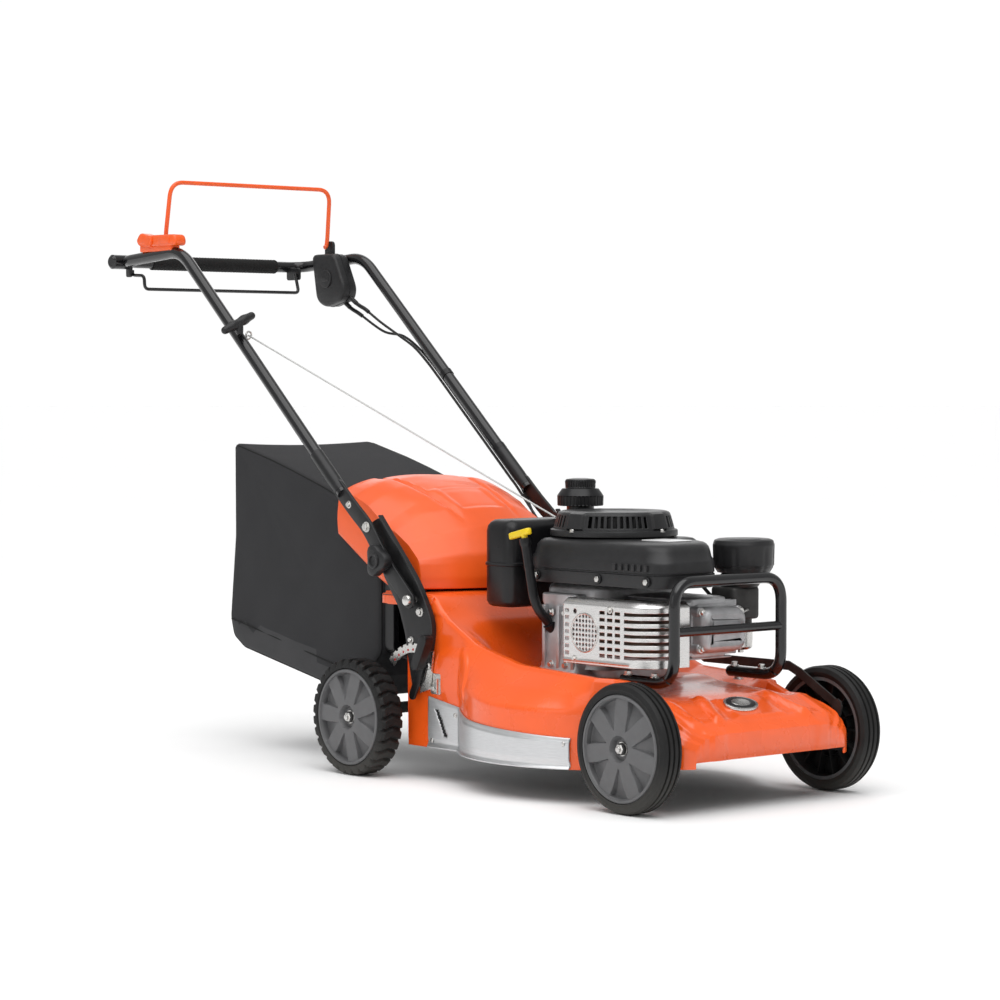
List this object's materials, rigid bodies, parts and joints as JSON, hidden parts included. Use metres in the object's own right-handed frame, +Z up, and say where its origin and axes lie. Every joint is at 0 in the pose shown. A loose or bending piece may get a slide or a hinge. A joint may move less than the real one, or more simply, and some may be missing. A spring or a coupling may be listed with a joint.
{
  "type": "lawn mower",
  "caption": "Walk-behind petrol lawn mower with pressed deck, caged engine, rear grass bag, folding handle with wire bails, and four wheels on a linked height adjuster.",
  "frame": {"origin": "on the ground, below the middle of the mower's bounding box", "axes": "+X forward, towards the front wheels; +Y to the operator's left; +Z up"},
  "size_m": [1.578, 0.544, 1.075],
  "materials": {
    "orange_paint": "gloss",
    "orange_plastic": "satin",
    "bright_trim": "satin",
    "black_paint": "gloss",
    "dark_steel": "satin",
    "bright_steel": "satin",
    "cast_aluminium": "cast",
    "guard_steel": "satin",
    "charcoal_plastic": "satin",
    "black_plastic": "satin",
    "tyre_rubber": "matte",
    "wheel_grey": "satin",
    "soft_rubber": "matte",
    "bag_cloth": "woven",
    "yellow_plastic": "satin",
    "rope_white": "braided"
  },
  "bodies": {
    "chassis": {"deck_shell": "orange_paint", "side_trim_right": "bright_trim", "side_trim_left": "bright_trim", "discharge_chute": "dark_steel", "handle_bracket_right": "black_paint", "handle_bracket_left": "black_paint", "height_quadrant": "bright_steel", "cage_guard": "black_paint", "engine_block": "cast_aluminium", "rocker_cover": "cast_aluminium", "spark_plug": "soft_rubber", "muffler": "dark_steel", "muffler_guard": "guard_steel", "blower_shroud": "charcoal_plastic", "recoil_cover": "charcoal_plastic", "fuel_tank": "black_plastic", "oil_filler_tube": "black_plastic", "air_filter_cover": "charcoal_plastic", "carburettor": "black_plastic", "gearbox": "dark_steel", "drive_belt": "soft_rubber", "brake_cable_lower": "black_plastic", "starter_rope": "rope_white"},
    "crank": {"crankshaft": "bright_steel", "flywheel": "cast_aluminium", "cutting_blade": "bright_steel", "blade_bolt": "bright_steel"},
    "recoil": {"starter_pulley": "black_plastic"},
    "gear_input": {"gearbox_pulley": "bright_steel"},
    "rear_drive": {"drive_shaft": "bright_steel"},
    "front_crank": {"front_axle": "bright_steel"},
    "rear_crank": {"rear_axle": "dark_steel"},
    "link": {"height_link_bar": "bright_steel"},
    "lever": {"height_lever": "black_plastic"},
    "wheel_front_right": {"tyre_front_right": "tyre_rubber", "hub_front_right": "wheel_grey"},
    "wheel_front_left": {"tyre_front_left": "tyre_rubber", "hub_front_left": "wheel_grey"},
    "wheel_rear_right": {"tyre_rear_right": "tyre_rubber", "hub_rear_right": "wheel_grey"},
    "wheel_rear_left": {"tyre_rear_left": "tyre_rubber", "hub_rear_left": "wheel_grey"},
    "handle": {"handle_tube": "black_paint", "handle_grip": "soft_rubber", "bail_housing": "orange_plastic", "control_box": "charcoal_plastic", "rope_guide": "bright_steel", "brake_cable": "black_plastic", "drive_cable": "black_plastic"},
    "engine_bail": {"brake_bail": "orange_paint"},
    "traction_bail": {"drive_bail": "black_paint"},
    "pull_grip": {"starter_grip": "charcoal_plastic"},
    "knob_right": {"handle_knob_right": "charcoal_plastic"},
    "knob_left": {"handle_knob_left": "charcoal_plastic"},
    "flap": {"rear_flap": "orange_plastic"},
    "bag": {"grass_bag": "bag_cloth", "bag_frame": "black_plastic"},
    "cap": {"fuel_cap": "black_plastic"},
    "oil_dipstick": {"dipstick": "yellow_plastic"}
  },
  "joints": [
    {"name": "crank_spin", "type": "hinge", "parent": "chassis", "child": "crank", "pos_m": [0.4, 0, 0.2], "axis": [0, 0, 1], "continuous": true},
    {"name": "gear_input_spin", "type": "hinge", "parent": "chassis", "child": "gear_input", "pos_m": [0.11, 0, 0.15], "axis": [0, 0, 1], "continuous": true},
    {"name": "rear_drive_spin", "type": "hinge", "parent": "chassis", "child": "rear_drive", "pos_m": [0.0535, 0, 0.1172], "axis": [0, 1, 0], "continuous": true},
    {"name": "rear_height_turn", "type": "hinge", "parent": "chassis", "child": "rear_crank", "pos_m": [0.0535, 0, 0.1172], "axis": [0, 1, 0], "range_deg": [-45, 0]},
    {"name": "front_height_turn", "type": "hinge", "parent": "chassis", "child": "front_crank", "pos_m": [0.7305, 0, 0.1205], "axis": [0, 1, 0], "range_deg": [-45, 0]},
    {"name": "height_link_slide", "type": "slide", "parent": "chassis", "child": "link", "axis": [-1, 0, 0], "range_m": [0, 0.0201]},
    {"name": "height_lever_turn", "type": "hinge", "parent": "chassis", "child": "lever", "pos_m": [0.118, 0, 0.145], "axis": [0, 1, 0], "range_deg": [-70, 0]},
    {"name": "wheel_front_right_spin", "type": "hinge", "parent": "front_crank", "child": "wheel_front_right", "pos_m": [0.684, 0, 0.105], "axis": [0, 1, 0], "continuous": true},
    {"name": "wheel_front_left_spin", "type": "hinge", "parent": "front_crank", "child": "wheel_front_left", "pos_m": [0.684, 0, 0.105], "axis": [0, 1, 0], "continuous": true},
    {"name": "wheel_rear_right_spin", "type": "hinge", "parent": "rear_crank", "child": "wheel_rear_right", "pos_m": [0.007, 0, 0.1017], "axis": [0, 1, 0], "continuous": true},
    {"name": "wheel_rear_left_spin", "type": "hinge", "parent": "rear_crank", "child": "wheel_rear_left", "pos_m": [0.007, 0, 0.1017], "axis": [0, 1, 0], "continuous": true},
    {"name": "handle_fold", "type": "hinge", "parent": "chassis", "child": "handle", "pos_m": [0.116, 0, 0.31], "axis": [0, 1, 0], "range_deg": [-5, 100], "deforming": ["starter_rope"]},
    {"name": "brake_bail_turn", "type": "hinge", "parent": "handle", "child": "engine_bail", "pos_m": [-0.66, 0, 0.957], "axis": [0, 1, 0], "range_deg": [-95, 0], "stiffness_Nm_per_rad": 0.3},
    {"name": "drive_bail_turn", "type": "hinge", "parent": "handle", "child": "traction_bail", "pos_m": [-0.771, 0, 0.898], "axis": [0, 1, 0], "range_deg": [-35, 0], "stiffness_Nm_per_rad": 0.3},
    {"name": "starter_pull", "type": "slide", "parent": "handle", "child": "pull_grip", "axis": [-0.28, 0, 0.96], "range_m": [0, 0.45], "stiffness_N_per_m": 15},
    {"name": "recoil_spin", "type": "hinge", "parent": "chassis", "child": "recoil", "pos_m": [0.4, 0, 0.447], "axis": [0, 0, 1], "range_deg": [0, 600]},
    {"name": "knob_right_turn", "type": "hinge", "parent": "handle", "child": "knob_right", "pos_m": [0.044, -0.233, 0.376], "axis": [0, 1, 0], "range_deg": [0, 180]},
    {"name": "knob_left_turn", "type": "hinge", "parent": "handle", "child": "knob_left", "pos_m": [0.044, 0.233, 0.376], "axis": [0, 1, 0], "range_deg": [0, 180]},
    {"name": "rear_flap_turn", "type": "hinge", "parent": "chassis", "child": "flap", "pos_m": [0.146, 0, 0.338], "axis": [0, 1, 0], "range_deg": [0, 50], "stiffness_Nm_per_rad": 0.4},
    {"name": "bag_slide", "type": "slide", "parent": "chassis", "child": "bag", "axis": [-1, 0, 0], "range_m": [0, 0.3]},
    {"name": "fuel_cap_turn", "type": "hinge", "parent": "chassis", "child": "cap", "pos_m": [0.268, 0.042, 0.48], "axis": [0, 0, 1], "range_deg": [0, 90]},
    {"name": "dipstick_pull", "type": "slide", "parent": "chassis", "child": "oil_dipstick", "axis": [-0.1977, -0.0258, 0.9799], "range_m": [0, 0.1]}
  ],
  "couplings": [
    {"joint": "gear_input_spin", "follows": "crank_spin", "ratio": 1},
    {"joint": "front_height_turn", "follows": "rear_height_turn", "ratio": 1},
    {"joint": "height_lever_turn", "follows": "rear_height_turn", "ratio": 1.5556},
    {"joint": "height_link_slide", "follows": "rear_height_turn", "m_per_rad": -0.02559},
    {"joint": "recoil_spin", "follows": "starter_pull", "rad_per_m": 22.22}
  ]
}
